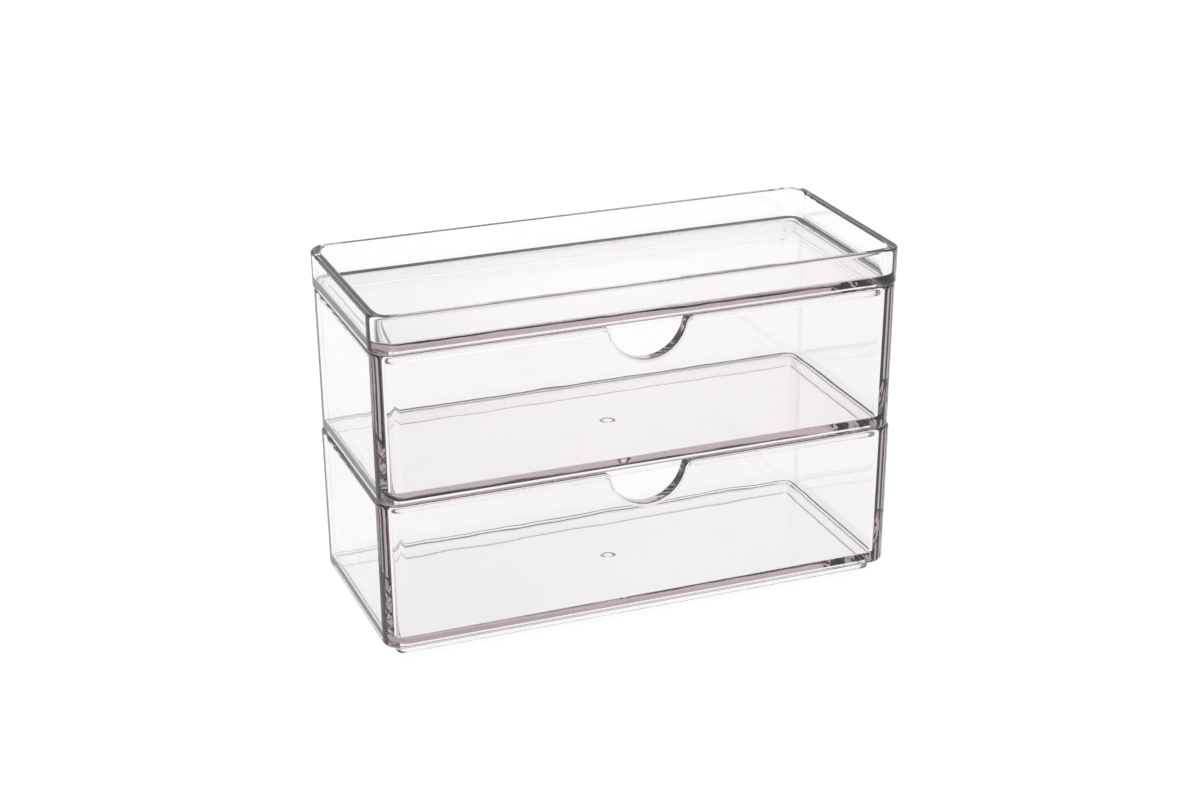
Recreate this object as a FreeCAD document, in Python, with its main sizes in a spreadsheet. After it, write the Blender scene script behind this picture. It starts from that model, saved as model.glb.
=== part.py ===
import FreeCAD, Part
import math
import os
import Sketcher

# Clear stacking organiser: two equal open-top boxes and a tray lid, each one moulding.
# X runs along the front, Y to the back, Z up. The origin is the centre of the base.
# A piece has a foot ring, a seat that rests on the rim below, walls and its own rim.

# Driving sizes, in millimetres and degrees
sizes = {
    "rimWidth": 177.0,          # box rim, left to right
    "rimDepth": 76.0,           # box rim, front to back
    "boxCorner": 7.0,           # upright corners at the rim, outside
    "lidCorner": 7.5,
    "boxInnerCorner": 2.0,      # and inside
    "lidInnerCorner": 5.5,
    "footCorner": 3.0,          # upright corners of the foot ring
    "footInnerCorner": 2.0,
    "boxWall": 4.6,             # box wall at the rim, thicker towards the floor
    "lidWall": 3.2,             # lid wall at the rim
    "boxFloor": 2.9,
    "lidFloor": 3.2,
    "draftAngle": 0.5,          # each wall's outside leans out by this
    "innerDraftAngle": 0.6,     # and its inside by this
    "boxRise": 49.4,            # seat to rim of a box
    "lidRise": 12.6,            # seat to rim of the lid
    "lidOverhang": 0.5,         # lid rim past the box rim, each side
    "footHeight": 3.8,          # foot ring, below the seat
    "footThickness": 2.0,
    "footClearance": 0.3,       # foot ring to the rim that it stands in
    "notchRadius": 12.8,        # finger notch, centred on the rim
    "shoulderRadius": 3.2,      # where the notch rolls over into the rim
    "rimRound": 1.0,
    "seatRound": 1.2,           # floor to wall, outside
    "innerRound": 1.2,          # floor to wall, inside
    "footRound": 0.5,
    "gateDiameter": 3.4,        # gate mark in the middle of a box floor's underside
    "gateDepth": 0.4,
    "overrun": 4.0,             # how far a cut runs past the surface
    "roundShare": 0.45,         # most of a thickness that one round may take
}

sameHeight = 1e-4
samplesPerEdge = 5
upward = FreeCAD.Vector(0, 0, 1)

doc = FreeCAD.newDocument("StackingBox")
sheet = doc.addObject("Spreadsheet::Sheet", "Sizes")
for row, (alias, value) in enumerate(sizes.items(), start=1):
    sheet.set("A%d" % row, alias)
    sheet.set("B%d" % row, str(value))
    sheet.setAlias("B%d" % row, alias)
doc.recompute()


def addSketch(body, name, plane, height=None):
    sketch = body.newObject("Sketcher::SketchObject", name)
    support = [part for part in body.Origin.OriginFeatures if part.Role == plane][0]
    sketch.AttachmentSupport = [(support, "")]
    sketch.MapMode = "FlatFace"
    if height:
        sketch.setExpression("AttachmentOffset.Base.z", height)
    return sketch


def bind(sketch, kind, args, name, expression, value):
    index = sketch.addConstraint(Sketcher.Constraint(kind, *args, value))
    sketch.renameConstraint(index, name)
    sketch.setExpression("Constraints." + name, expression)


# Rounded rectangle that follows the box rim, drawn in from it by inset on every side
def addOutline(sketch, inset, corner):
    halfWidth = sizes["rimWidth"] / 2
    halfDepth = sizes["rimDepth"] / 2
    radius = sizes[corner]
    turns = [(1, -1, -90), (1, 1, 0), (-1, 1, 90), (-1, -1, 180)]
    arcs = []
    for sideX, sideY, start in turns:
        centre = FreeCAD.Vector(sideX * (halfWidth - radius), sideY * (halfDepth - radius), 0)
        circle = Part.Circle(centre, upward, radius)
        arc = Part.ArcOfCircle(circle, math.radians(start), math.radians(start + 90))
        arcs.append(sketch.addGeometry(arc))
    lines = []
    for here, after in zip(arcs, arcs[1:] + arcs[:1]):
        start = sketch.Geometry[here].EndPoint
        end = sketch.Geometry[after].StartPoint
        lines.append(sketch.addGeometry(Part.LineSegment(start, end)))
    for index, line in enumerate(lines):
        after = arcs[(index + 1) % len(arcs)]
        sketch.addConstraint(Sketcher.Constraint("Tangent", arcs[index], 2, line, 1))
        sketch.addConstraint(Sketcher.Constraint("Tangent", line, 2, after, 1))
        sketch.addConstraint(Sketcher.Constraint("Horizontal" if index % 2 else "Vertical", line))
    for arc in arcs[1:]:
        sketch.addConstraint(Sketcher.Constraint("Equal", arcs[0], arc))
    right, back, left, front = lines
    sketch.addConstraint(Sketcher.Constraint("Symmetric", right, 1, left, 1, -1, 1))
    bind(sketch, "DistanceX", (left, 1, right, 1), "width",
         "Sizes.rimWidth - 2 * (%s)" % inset, sizes["rimWidth"])
    bind(sketch, "DistanceY", (front, 1, back, 1), "depth",
         "Sizes.rimDepth - 2 * (%s)" % inset, sizes["rimDepth"])
    bind(sketch, "Radius", (arcs[0],), "radius", "Sizes." + corner, radius)


# Half circle cut down into the rim, with a shoulder arc on each side
def addNotchOutline(sketch, rimHeight, rim):
    radius = sizes["notchRadius"]
    shoulder = sizes["shoulderRadius"]
    reach = math.sqrt(radius ** 2 + 2 * radius * shoulder)
    top = rim + sizes["overrun"]
    turn = math.atan2(shoulder, reach)
    bowl = Part.ArcOfCircle(Part.Circle(FreeCAD.Vector(0, rim, 0), upward, radius),
                            math.pi + turn, 2 * math.pi - turn)
    rightRoll = Part.Circle(FreeCAD.Vector(reach, rim - shoulder, 0), upward, shoulder)
    leftRoll = Part.Circle(FreeCAD.Vector(-reach, rim - shoulder, 0), upward, shoulder)
    bowl = sketch.addGeometry(bowl)
    rightArc = sketch.addGeometry(Part.ArcOfCircle(rightRoll, math.pi / 2, math.pi - turn))
    leftArc = sketch.addGeometry(Part.ArcOfCircle(leftRoll, turn, math.pi / 2))
    corners = [FreeCAD.Vector(reach, rim, 0), FreeCAD.Vector(reach, top, 0),
               FreeCAD.Vector(-reach, top, 0), FreeCAD.Vector(-reach, rim, 0)]
    rightSide, across, leftSide = [sketch.addGeometry(Part.LineSegment(start, end))
                                   for start, end in zip(corners, corners[1:])]
    sketch.addConstraint(Sketcher.Constraint("Tangent", bowl, 2, rightArc, 2))
    sketch.addConstraint(Sketcher.Constraint("Tangent", leftArc, 1, bowl, 1))
    sketch.addConstraint(Sketcher.Constraint("Perpendicular", rightArc, 1, rightSide, 1))
    sketch.addConstraint(Sketcher.Constraint("Perpendicular", leftSide, 2, leftArc, 2))
    sketch.addConstraint(Sketcher.Constraint("Coincident", rightSide, 2, across, 1))
    sketch.addConstraint(Sketcher.Constraint("Coincident", across, 2, leftSide, 1))
    sketch.addConstraint(Sketcher.Constraint("Vertical", rightSide))
    sketch.addConstraint(Sketcher.Constraint("Vertical", leftSide))
    sketch.addConstraint(Sketcher.Constraint("Horizontal", across))
    sketch.addConstraint(Sketcher.Constraint("Equal", rightArc, leftArc))
    sketch.addConstraint(Sketcher.Constraint("PointOnObject", bowl, 3, -2))
    bind(sketch, "DistanceY", (-1, 1, bowl, 3), "rim", rimHeight, rim)
    bind(sketch, "DistanceY", (-1, 1, rightSide, 1), "rollTop", rimHeight, rim)
    bind(sketch, "Radius", (bowl,), "notch", "Sizes.notchRadius", radius)
    bind(sketch, "Radius", (rightArc,), "shoulder", "Sizes.shoulderRadius", shoulder)
    bind(sketch, "DistanceY", (rightSide,), "above", "Sizes.overrun", sizes["overrun"])


def addExtrusion(body, kind, name, sketch, length, taper=None, reverse=False):
    feature = body.newObject("PartDesign::" + kind, name)
    feature.Profile = sketch
    feature.Reversed = reverse
    feature.setExpression("Length", length)
    if taper:
        feature.setExpression("TaperAngle", taper)
    sketch.Visibility = False
    doc.recompute()


# Rounds the edges whose points pass the test, by no more than a share of the thickness
def addRound(body, name, radius, thickness, test):
    base = body.Tip
    edges = []
    for number, edge in enumerate(base.Shape.Edges, start=1):
        if test(edge.discretize(samplesPerEdge)):
            edges.append("Edge%d" % number)
    fillet = body.newObject("PartDesign::Fillet", name)
    fillet.Base = (base, edges)
    fillet.setExpression("Radius", "min(Sizes.%s; Sizes.%s * Sizes.roundShare)" % (radius, thickness))
    doc.recompute()


# Picks the edges that lie level at a height, all of them or those past an inset from the rim
def levelTest(height, outside=None):
    def test(points):
        level = all(abs(point.z - height) < sameHeight for point in points)
        reach = max(abs(point.y) for point in points)
        return level and (outside is None or reach > outside)
    return test


# One moulding, a box with notch and gate mark or a lid, its base raised by lift
def makePiece(label, kind, inset, lift):
    rise, wall, floor, corner, innerCorner = [
        kind + name for name in ("Rise", "Wall", "Floor", "Corner", "InnerCorner")]
    body = doc.addObject("PartDesign::Body", label)
    body.Label = label
    rimHeight = "Sizes.footHeight + Sizes.%s" % rise
    rim = sizes["footHeight"] + sizes[rise]
    seat = sizes["footHeight"]
    innerFloor = seat + sizes[floor]

    outline = addSketch(body, label + "Outline", "XY_Plane", rimHeight)
    addOutline(outline, inset, corner)
    addExtrusion(body, "Pad", label + "Shell", outline, "Sizes." + rise, "-Sizes.draftAngle", True)

    hollow = addSketch(body, label + "HollowOutline", "XY_Plane", rimHeight)
    addOutline(hollow, inset + " + Sizes." + wall, innerCorner)
    addExtrusion(body, "Pocket", label + "Hollow", hollow,
                 "Sizes.%s - Sizes.%s" % (rise, floor), "-Sizes.innerDraftAngle")

    footInset = "Sizes.boxWall + Sizes.footClearance"
    foot = addSketch(body, label + "FootOutline", "XY_Plane")
    addOutline(foot, footInset, "footCorner")
    addExtrusion(body, "Pad", label + "Foot", foot, "Sizes.footHeight")

    footHollow = addSketch(body, label + "FootHollowOutline", "XY_Plane")
    addOutline(footHollow, footInset + " + Sizes.footThickness", "footInnerCorner")
    addExtrusion(body, "Pocket", label + "FootHollow", footHollow, "Sizes.footHeight", None, True)

    rimTest = levelTest(rim)
    if kind == "box":
        gate = addSketch(body, label + "GateOutline", "XY_Plane", "Sizes.footHeight")
        centre = FreeCAD.Vector(0, 0, 0)
        circle = gate.addGeometry(Part.Circle(centre, upward, sizes["gateDiameter"] / 2))
        gate.addConstraint(Sketcher.Constraint("Coincident", circle, 3, -1, 1))
        bind(gate, "Diameter", (circle,), "gate", "Sizes.gateDiameter", sizes["gateDiameter"])
        addExtrusion(body, "Pocket", label + "Gate", gate, "Sizes.gateDepth", None, True)

        notch = addSketch(body, label + "NotchOutline", "XZ_Plane")
        addNotchOutline(notch, rimHeight, rim)
        addExtrusion(body, "Pocket", label + "Notch", notch,
                     "Sizes.rimDepth / 2 + Sizes.overrun", None, True)
        notchFoot = rim - sizes["notchRadius"] - sameHeight
        rimTest = lambda points: all(point.z > notchFoot for point in points)

    footFace = sizes["rimDepth"] / 2 - sizes["boxWall"]
    addRound(body, label + "RimRound", "rimRound", wall, rimTest)
    addRound(body, label + "SeatRound", "seatRound", wall, levelTest(seat, footFace))
    addRound(body, label + "InnerRound", "innerRound", floor, levelTest(innerFloor))
    addRound(body, label + "FootRound", "footRound", "footThickness", levelTest(0))
    if lift:
        body.setExpression("Placement.Base.z", lift)
    return body


pieces = [
    makePiece("lower_box", "box", "0", None),
    makePiece("upper_box", "box", "0", "Sizes.boxRise"),
    makePiece("lid_tray", "lid", "0 - Sizes.lidOverhang", "2 * Sizes.boxRise"),
]
doc.recompute()

# Nothing is written unless every feature has come out whole
for item in doc.Objects:
    if "Invalid" in item.State or "Error" in item.State:
        raise RuntimeError("%s failed: %s" % (item.Label, item.State))
for piece in pieces:
    if piece.Shape.isNull() or not piece.Shape.isValid() or len(piece.Shape.Solids) != 1:
        raise RuntimeError("%s isn't one sound solid" % piece.Label)

os.makedirs("parts", exist_ok=True)
for piece in pieces:
    piece.Shape.exportStep("parts/%s.step" % piece.Label)
    print(piece.Label, "volume %.1f mm3" % piece.Shape.Volume)
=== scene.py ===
import math
import bmesh
import bpy
from mathutils import Matrix, Vector


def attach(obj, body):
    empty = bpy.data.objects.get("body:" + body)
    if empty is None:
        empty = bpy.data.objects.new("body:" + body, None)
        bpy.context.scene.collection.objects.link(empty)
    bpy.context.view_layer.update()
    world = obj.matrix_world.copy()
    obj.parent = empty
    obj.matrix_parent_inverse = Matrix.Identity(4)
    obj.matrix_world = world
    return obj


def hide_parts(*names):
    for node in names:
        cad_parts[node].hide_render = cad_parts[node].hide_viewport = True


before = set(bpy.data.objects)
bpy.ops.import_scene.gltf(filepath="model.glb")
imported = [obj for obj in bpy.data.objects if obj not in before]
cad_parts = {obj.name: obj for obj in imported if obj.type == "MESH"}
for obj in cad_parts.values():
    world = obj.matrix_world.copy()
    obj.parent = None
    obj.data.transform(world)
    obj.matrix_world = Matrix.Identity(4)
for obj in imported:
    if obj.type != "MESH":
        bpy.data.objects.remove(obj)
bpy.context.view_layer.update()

# Clear stacking boxes with a tray lid, three mouldings. Metres, X along the front, Y to the back.
print("frame loaded, nodes:", sorted(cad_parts))


# ---- working helpers

tests = {
    "sharp": math.radians(40),      # an edge that turns more than this is rounded
    "level": 0.9,                   # least upward part of a level face's normal
    "upright": 0.0005,              # least height of an upright corner edge
    "near": 1e-5,                   # heights closer than this are the same
    "step": 0.0001,                 # small step past a face
    "weld": 2e-5,                   # points a cut leaves closer than this are merged
    "smooth": math.radians(32),
}


def deselectAll():
    if bpy.context.object and bpy.context.object.mode != "OBJECT":
        bpy.ops.object.mode_set(mode="OBJECT")
    bpy.ops.object.select_all(action="DESELECT")


def makeActive(piece):
    deselectAll()
    piece.select_set(True)
    bpy.context.view_layer.objects.active = piece


def openForEditing(piece, mode="FACE"):
    makeActive(piece)
    bpy.ops.object.mode_set(mode="EDIT")
    bpy.ops.mesh.select_mode(type=mode)
    bpy.ops.mesh.select_all(action="DESELECT")


def closeEditing():
    bpy.ops.object.mode_set(mode="OBJECT")


def takeNew(name):
    piece = bpy.context.object
    piece.name = name
    return piece


def settle():
    bpy.ops.object.transform_apply(location=True, rotation=True, scale=True)


def selectFaces(piece, test):
    mesh = bmesh.from_edit_mesh(piece.data)
    for face in mesh.faces:
        face.select_set(bool(test(face)))
    mesh.select_flush_mode()
    bmesh.update_edit_mesh(piece.data)


def selectEdges(piece, test):
    mesh = bmesh.from_edit_mesh(piece.data)
    count = 0
    for edge in mesh.edges:
        chosen = bool(test(edge))
        edge.select_set(chosen)
        count += chosen
    mesh.select_flush_mode()
    bmesh.update_edit_mesh(piece.data)
    return count


def isSharp(edge):
    return len(edge.link_faces) == 2 and edge.calc_face_angle(0) > tests["sharp"]


def applyModifier(piece, kind, **values):
    makeActive(piece)
    bpy.ops.object.modifier_add(type=kind)
    modifier = piece.modifiers[-1]
    for key, value in values.items():
        setattr(modifier, key, value)
    bpy.ops.object.modifier_apply(modifier=modifier.name)


def roundEdges(piece, width, segments, test):
    openForEditing(piece, "EDGE")
    count = selectEdges(piece, test)
    if count:
        bpy.ops.mesh.bevel(offset=width, segments=segments, affect="EDGES")
    closeEditing()
    return count


def insetFaces(thickness, depth=0):
    bpy.ops.mesh.inset(thickness=thickness, depth=depth)


def extrudeFaces(*move):
    bpy.ops.mesh.extrude_region_move(TRANSFORM_OT_translate={"value": move})


# ---- camera, at the photograph's angle

cameraView = {
    "place": (-0.2621, -0.6676, 0.3517),
    "lens": 70.131,
    "sensor": 36,
    "yaw": 21.299,      # degrees to the right of straight ahead
    "pitch": 21.999,    # degrees down
    "roll": -0.358,
}


def addCamera(view):
    yaw, pitch, roll = [math.radians(view[key]) for key in ("yaw", "pitch", "roll")]
    ahead = Vector((math.sin(yaw) * math.cos(pitch), math.cos(yaw) * math.cos(pitch), -math.sin(pitch)))
    level = Vector((math.cos(yaw), -math.sin(yaw), 0))
    upright = level.cross(ahead)
    right = level * math.cos(roll) + upright * math.sin(roll)
    top = upright * math.cos(roll) - level * math.sin(roll)
    deselectAll()
    bpy.ops.object.camera_add()
    camera = takeNew("photoCamera")
    turn = Matrix((right, top, -ahead)).transposed().to_4x4()
    camera.matrix_world = Matrix.Translation(view["place"]) @ turn
    camera.data.lens = view["lens"]
    camera.data.sensor_width = view["sensor"]
    bpy.context.scene.camera = camera


addCamera(cameraView)
print("camera placed")


# ---- the mouldings

boxSizes = {
    "width": 0.177, "depth": 0.076,     # rim, outside
    "corner": 0.007, "innerCorner": 0.002, "footCorner": 0.003, "footInnerCorner": 0.002,
    "cornerSteps": 16,
    "rise": 0.0494,                     # seat to rim
    "lip": 0.0015,                      # straight part under the rim
    "wall": 0.0046,                     # at the rim
    "wallSlack": 0.001,                 # the rim's inner edge is looked for this far outside it
    "floor": 0.0029,
    "outerDraft": math.radians(0.5), "innerDraft": math.radians(0.6),
    "footInset": 0.0049, "footHeight": 0.0038, "footWidth": 0.002,
    "rimRound": 0.001, "seatRound": 0.0012, "innerRound": 0.0006, "footRound": 0.0005,
    "rimSteps": 12, "seatSteps": 10, "innerSteps": 10, "footSteps": 8,
}
lidSizes = dict(boxSizes, width=0.178, depth=0.077, corner=0.0075, innerCorner=0.0055, rise=0.0126,
                wall=0.0032, floor=0.0032, footInset=0.0054)
notchSizes = {
    "radius": 0.0128, "shoulder": 0.0032,
    "bowlSteps": 44, "shoulderSteps": 9,
    "beyond": 0.004,                    # cutter past the wall and above the rim
    "length": 0.02,
    "seed": 0.001, "weld": 1e-6,
}
gateSizes = {
    "radius": 0.0017, "depth": 0.0004, "steps": 40,
    "block": 0.001,                     # cutter's height
    "reach": 0.003, "round": 0.00012, "roundSteps": 2,
}
stackHeights = {"upper": 0.0494, "lid": 0.0988}


def rimHeight(sizes):
    return sizes["footHeight"] + sizes["rise"]


# A block the height of the rim's straight lip, whose faces are inset along their own normals
def addShell(name, sizes):
    rim = rimHeight(sizes)
    lip = sizes["lip"]
    middle = rim - lip / 2
    deselectAll()
    bpy.ops.mesh.primitive_cube_add(size=1, location=(0, 0, middle),
                                    scale=(sizes["width"], sizes["depth"], lip))
    piece = takeNew(name)
    settle()
    openForEditing(piece)

    # underneath: drafted outside, seat, foot ring and the hollow inside the ring
    selectFaces(piece, lambda face: face.normal.z < -tests["level"])
    drop = sizes["rise"] - lip
    lean = drop * math.tan(sizes["outerDraft"])
    insetFaces(lean, drop)
    insetFaces(sizes["footInset"] - lean)
    extrudeFaces(0, 0, -sizes["footHeight"])
    insetFaces(sizes["footWidth"])
    extrudeFaces(0, 0, sizes["footHeight"])

    # on top: rim, drafted inside and floor
    selectFaces(piece, lambda face: (face.normal.z > tests["level"]
                                     and face.calc_center_median().z > middle))
    deep = sizes["rise"] - sizes["floor"]
    insetFaces(sizes["wall"])
    insetFaces(deep * math.tan(sizes["innerDraft"]), -deep)
    closeEditing()

    # upright corners, told apart by how far in from the rim they stand
    wallFace = sizes["wall"] - sizes["wallSlack"]
    footFace = sizes["footInset"] - tests["step"]
    footBack = footFace + sizes["footWidth"]
    outermost, innermost = -sizes["width"], sizes["width"]
    for corner, nearest, farthest, low in (("corner", outermost, wallFace, False),
                                           ("innerCorner", wallFace, innermost, False),
                                           ("footCorner", footFace, footBack, True),
                                           ("footInnerCorner", footBack, innermost, True)):
        def isUpright(edge):
            first, second = edge.verts[0].co, edge.verts[1].co
            inset = sizes["width"] / 2 - abs((first.x + second.x) / 2)
            underSeat = max(first.z, second.z) < sizes["footHeight"] + tests["step"]
            return (isSharp(edge) and abs(first.z - second.z) > tests["upright"]
                    and nearest < inset < farthest and underSeat == low)
        roundEdges(piece, sizes[corner], sizes["cornerSteps"], isUpright)
    return piece


# The notch's outline is spun out of one point, then drawn back through the front wall
def addNotchCutter(sizes, notch):
    rim = rimHeight(sizes)
    radius, shoulder = notch["radius"], notch["shoulder"]
    reach = math.sqrt(radius ** 2 + 2 * radius * shoulder)
    turn = math.atan2(shoulder, reach)
    front = -sizes["depth"] / 2 - notch["beyond"]
    deselectAll()
    bpy.ops.mesh.primitive_plane_add(size=notch["seed"], location=(0, 0, 0))
    cutter = takeNew("notchCutter")
    openForEditing(cutter, "VERT")
    bpy.ops.mesh.select_all(action="SELECT")
    bpy.ops.mesh.merge(type="CENTER")
    bpy.ops.transform.translate(value=(reach, front, rim))
    for steps, angle, sideways, low in (
            (notch["shoulderSteps"], math.pi / 2 - turn, reach, shoulder),
            (notch["bowlSteps"], 2 * turn - math.pi, 0, 0),
            (notch["shoulderSteps"], math.pi / 2 - turn, -reach, shoulder)):
        bpy.ops.mesh.spin(steps=steps, angle=angle, center=(sideways, front, rim - low), axis=(0, 1, 0))
    bpy.ops.mesh.extrude_vertices_move(TRANSFORM_OT_translate={"value": (0, 0, notch["beyond"])})
    bpy.ops.mesh.extrude_vertices_move(TRANSFORM_OT_translate={"value": (2 * reach, 0, 0)})
    bpy.ops.mesh.select_all(action="SELECT")
    bpy.ops.mesh.remove_doubles(threshold=notch["weld"])
    bpy.ops.mesh.select_all(action="SELECT")
    bpy.ops.mesh.edge_face_add()
    extrudeFaces(0, notch["length"], 0)
    bpy.ops.mesh.select_all(action="SELECT")
    bpy.ops.mesh.normals_make_consistent(inside=False)
    closeEditing()
    return cutter


def addGateCutter(sizes, gate):
    height = sizes["footHeight"] + gate["depth"] - gate["block"] / 2
    deselectAll()
    bpy.ops.mesh.primitive_cylinder_add(vertices=gate["steps"], radius=gate["radius"],
                                        depth=gate["block"], location=(0, 0, height))
    cutter = takeNew("gateCutter")
    settle()
    return cutter


def cutWith(piece, cutter):
    applyModifier(piece, "BOOLEAN", operation="DIFFERENCE", solver="EXACT", object=cutter)
    bpy.data.objects.remove(cutter, do_unlink=True)
    openForEditing(piece, "VERT")
    bpy.ops.mesh.select_all(action="SELECT")
    bpy.ops.mesh.remove_doubles(threshold=tests["weld"])
    bpy.ops.mesh.dissolve_degenerate(threshold=tests["weld"])
    closeEditing()


def finishEdges(piece, sizes, depth=0):
    seat = sizes["footHeight"]
    inside = seat + sizes["floor"]
    lowest = rimHeight(sizes) - depth - tests["near"]       # of the rim and the notch in it

    def levelAt(edge, height):
        return isSharp(edge) and all(abs(corner.co.z - height) < tests["near"] for corner in edge.verts)

    def atRim(edge):
        return isSharp(edge) and all(corner.co.z > lowest for corner in edge.verts)

    def atSeat(edge):
        return levelAt(edge, seat) and any(face.calc_center_median().z > seat + tests["step"]
                                           for face in edge.link_faces)

    def atGate(edge):
        return isSharp(edge) and edge.verts[0].co.xy.length < gateSizes["reach"]

    counts = [
        roundEdges(piece, sizes["rimRound"], sizes["rimSteps"], atRim),
        roundEdges(piece, sizes["innerRound"], sizes["innerSteps"], lambda edge: levelAt(edge, inside)),
        roundEdges(piece, sizes["seatRound"], sizes["seatSteps"], atSeat),
        roundEdges(piece, sizes["footRound"], sizes["footSteps"], lambda edge: levelAt(edge, 0)),
        roundEdges(piece, gateSizes["round"], gateSizes["roundSteps"], atGate),
    ]
    print(piece.name, "rounded edges:", counts)


def smoothFaces(piece):
    makeActive(piece)
    bpy.ops.object.shade_smooth_by_angle(angle=tests["smooth"], keep_sharp_edges=True)
    applyModifier(piece, "WEIGHTED_NORMAL", mode="FACE_AREA", weight=60, keep_sharp=True)


def lift(piece, height):
    makeActive(piece)
    piece.location = (0, 0, height)
    settle()


lowerBox = addShell("lowerBoxShell", boxSizes)
cutWith(lowerBox, addNotchCutter(boxSizes, notchSizes))
cutWith(lowerBox, addGateCutter(boxSizes, gateSizes))
finishEdges(lowerBox, boxSizes, notchSizes["radius"])
smoothFaces(lowerBox)

deselectAll()
upperBox = lowerBox.copy()
upperBox.data = lowerBox.data.copy()
upperBox.name = "upperBoxShell"
bpy.context.collection.objects.link(upperBox)
lift(upperBox, stackHeights["upper"])

lidTray = addShell("lidTrayShell", lidSizes)
finishEdges(lidTray, lidSizes)
smoothFaces(lidTray)
lift(lidTray, stackHeights["lid"])
print("mouldings made")

for piece, node, body, slot in ((lowerBox, "lower_box", "lower", "clear_box"),
                                (upperBox, "upper_box", "upper", "clear_box"),
                                (lidTray, "lid_tray", "lid", "clear_lid")):
    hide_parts(node)
    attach(piece, body)


# ---- clear plastic

plasticLook = {
    "ior": 1.59,
    "tint": (0.64, 0.55, 0.585),     # what a long way through the plastic leaves of white
    "density": 26.0,
    "cloud": {"Scale": 14.0, "Detail": 2.0},
    "cloudTints": ((0.35, (0.985, 0.98, 0.985)), (0.65, (1.0, 0.998, 1.0))),
    "smear": {"Scale": 55.0, "Detail": 4.0},
    "haze": {"From Min": 0.45, "From Max": 0.8, "To Min": 0.0, "To Max": 0.018},
    "flow": {"Scale": 38.0, "Detail": 1.5},
    "stretch": (1.0, 1.0, 2.2),
    "ripple": {"Strength": 0.08, "Distance": 0.001},
    "shift": (1.0, 0.37, 0),         # how the seed moves the patterns
}


def addNode(nodes, kind, values=None):
    node = nodes.new("ShaderNode" + kind)
    for key, value in (values or {}).items():
        node.inputs[key].default_value = value
    return node


def makeClearPlastic(name, look, seed):
    material = bpy.data.materials.new(name)
    material.use_nodes = True
    nodes, links = material.node_tree.nodes, material.node_tree.links
    shader = nodes["Principled BSDF"]
    output = nodes["Material Output"]
    shader.inputs["IOR"].default_value = look["ior"]
    shader.inputs["Transmission Weight"].default_value = 1.0
    shader.inputs["Metallic"].default_value = 0.0

    place = addNode(nodes, "TexCoord")
    shift = addNode(nodes, "Mapping", {"Location": [seed * part for part in look["shift"]]})
    links.new(place.outputs["Object"], shift.inputs["Vector"])

    # faint uneven tint
    cloud = addNode(nodes, "TexNoise", look["cloud"])
    tint = addNode(nodes, "ValToRGB")
    for stop, (position, colour) in zip(tint.color_ramp.elements, look["cloudTints"]):
        stop.position = position
        stop.color = (*colour, 1)
    links.new(shift.outputs["Vector"], cloud.inputs["Vector"])
    links.new(cloud.outputs["Fac"], tint.inputs["Fac"])
    links.new(tint.outputs["Color"], shader.inputs["Base Color"])

    # handling haze, in soft patches
    smear = addNode(nodes, "TexNoise", look["smear"])
    haze = addNode(nodes, "MapRange", look["haze"])
    links.new(shift.outputs["Vector"], smear.inputs["Vector"])
    links.new(smear.outputs["Fac"], haze.inputs["Value"])
    links.new(haze.outputs["Result"], shader.inputs["Roughness"])

    # flow marks of the moulding, long across the walls
    stretch = addNode(nodes, "Mapping", {"Scale": look["stretch"]})
    flow = addNode(nodes, "TexNoise", look["flow"])
    bump = addNode(nodes, "Bump", look["ripple"])
    links.new(shift.outputs["Vector"], stretch.inputs["Vector"])
    links.new(stretch.outputs["Vector"], flow.inputs["Vector"])
    links.new(flow.outputs["Fac"], bump.inputs["Height"])
    links.new(bump.outputs["Normal"], shader.inputs["Normal"])

    inside = addNode(nodes, "VolumeAbsorption", {"Color": (*look["tint"], 1), "Density": look["density"]})
    links.new(inside.outputs["Volume"], output.inputs["Volume"])
    return material


for piece, seed in ((lowerBox, 0.0), (upperBox, 1.7), (lidTray, 3.9)):
    piece.data.materials.clear()
    piece.data.materials.append(makeClearPlastic(piece.name + "Plastic", plasticLook, seed))
print("plastic made")


# ---- floor, light and colour

white = (1.01, 1.03, 1.02)
floorLook = {
    "radius": 4.0, "steps": 96, "height": -0.0001,
    "colour": (0.14, 0.14, 0.14), "roughness": 0.9,
    "glow": 0.92,       # light table under the stack
}
skyLook = {
    # height of the direction (0 straight down, 1 straight up) and its colour
    "stops": ((0.0, (1.0, 1.0, 1.0)), (0.58, (1.0, 1.0, 1.0)), (0.66, (0.86, 0.83, 0.84)),
              (0.80, (0.86, 0.83, 0.84)), (0.85, (0.44, 0.34, 0.38)), (0.92, (0.44, 0.34, 0.38)),
              (0.955, (2.0, 2.0, 2.0)), (1.0, (2.0, 2.0, 2.0))),
    "shade": {"From Min": -0.7, "From Max": -0.1, "To Min": 0.7},       # less from the camera's side
    "lampPlace": (0.36, 0.86, 0.37),
    "lamp": {"From Min": 0.9925, "From Max": 0.9995, "To Max": 0.1},
}
bounces = {"max_bounces": 32, "transmission_bounces": 32, "glossy_bounces": 16,
           "diffuse_bounces": 4, "transparent_max_bounces": 16}


def addFloor(look):
    deselectAll()
    bpy.ops.mesh.primitive_circle_add(vertices=look["steps"], radius=look["radius"], fill_type="NGON",
                                      location=(0, 0, look["height"]))
    floor = takeNew("studioFloor")
    material = bpy.data.materials.new("paleFloor")
    material.use_nodes = True
    shader = material.node_tree.nodes["Principled BSDF"]
    shader.inputs["Base Color"].default_value = (*look["colour"], 1)
    shader.inputs["Roughness"].default_value = look["roughness"]
    shader.inputs["Specular IOR Level"].default_value = 0.0
    shader.inputs["Emission Color"].default_value = (*white, 1)
    shader.inputs["Emission Strength"].default_value = look["glow"]
    floor.data.materials.append(material)


def addVectorMath(nodes, operation):
    node = addNode(nodes, "VectorMath")
    node.operation = operation
    return node


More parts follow.
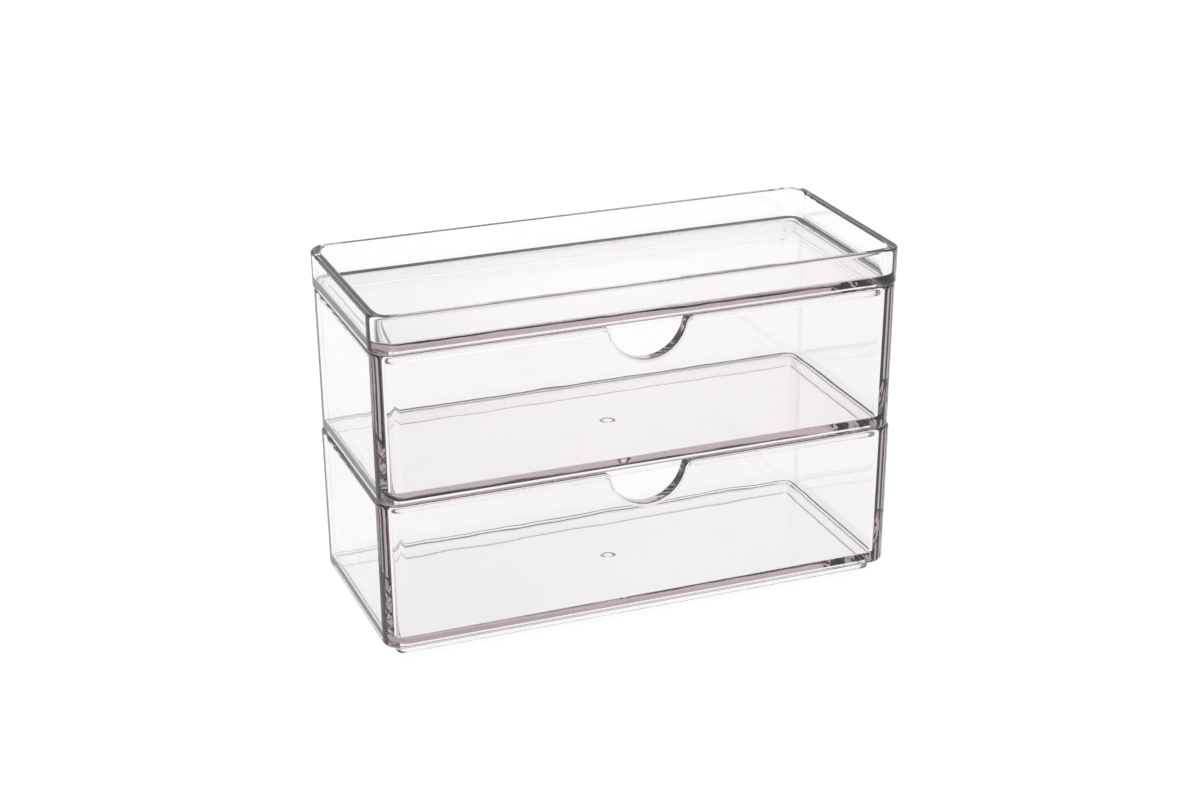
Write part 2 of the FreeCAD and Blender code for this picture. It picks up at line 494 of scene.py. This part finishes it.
def lightSky(look):
    world = bpy.data.worlds.new("softStudio")
    bpy.context.scene.world = world
    world.use_nodes = True
    nodes, links = world.node_tree.nodes, world.node_tree.links
    place = addNode(nodes, "TexCoord")
    split = addNode(nodes, "SeparateXYZ")
    height = addNode(nodes, "MapRange", {"From Min": -1.0})
    curve = addNode(nodes, "ValToRGB")
    curve.color_ramp.interpolation = "EASE"
    stops = curve.color_ramp.elements
    top = max(max(colour) for _, colour in look["stops"])
    while len(stops) < len(look["stops"]):
        stops.new(0.5)
    for stop, (position, colour) in zip(stops, look["stops"]):
        stop.position = position
        stop.color = (*[value / top for value in colour], 1)
    links.new(place.outputs["Generated"], split.inputs["Vector"])
    links.new(split.outputs["Z"], height.inputs["Value"])
    links.new(height.outputs["Result"], curve.inputs["Fac"])

    shade = addNode(nodes, "MapRange", look["shade"])
    shade.interpolation_type = "SMOOTHSTEP"
    links.new(split.outputs["Y"], shade.inputs["Value"])
    shaded = addVectorMath(nodes, "SCALE")
    links.new(curve.outputs["Color"], shaded.inputs[0])
    links.new(shade.outputs["Result"], shaded.inputs["Scale"])

    # soft lamp behind the stack, whose reflections lie on the floors
    facing = addVectorMath(nodes, "DOT_PRODUCT")
    facing.inputs[1].default_value = Vector(look["lampPlace"]).normalized()
    links.new(place.outputs["Generated"], facing.inputs[0])
    lamp = addNode(nodes, "MapRange", look["lamp"])
    lamp.interpolation_type = "SMOOTHSTEP"
    links.new(facing.outputs["Value"], lamp.inputs["Value"])
    added = addVectorMath(nodes, "ADD")
    links.new(shaded.outputs["Vector"], added.inputs[0])
    links.new(lamp.outputs["Result"], added.inputs[1])

    tinted = addVectorMath(nodes, "MULTIPLY")
    tinted.inputs[0].default_value = white
    links.new(added.outputs["Vector"], tinted.inputs[1])
    background = nodes["Background"]
    background.inputs["Strength"].default_value = top
    links.new(tinted.outputs["Vector"], background.inputs["Color"])


addFloor(floorLook)
lightSky(skyLook)

scene = bpy.context.scene
scene.view_settings.view_transform = "Standard"
scene.view_settings.look = "None"
for setting, value in bounces.items():
    setattr(scene.cycles, setting, value)
print("floor and light made")
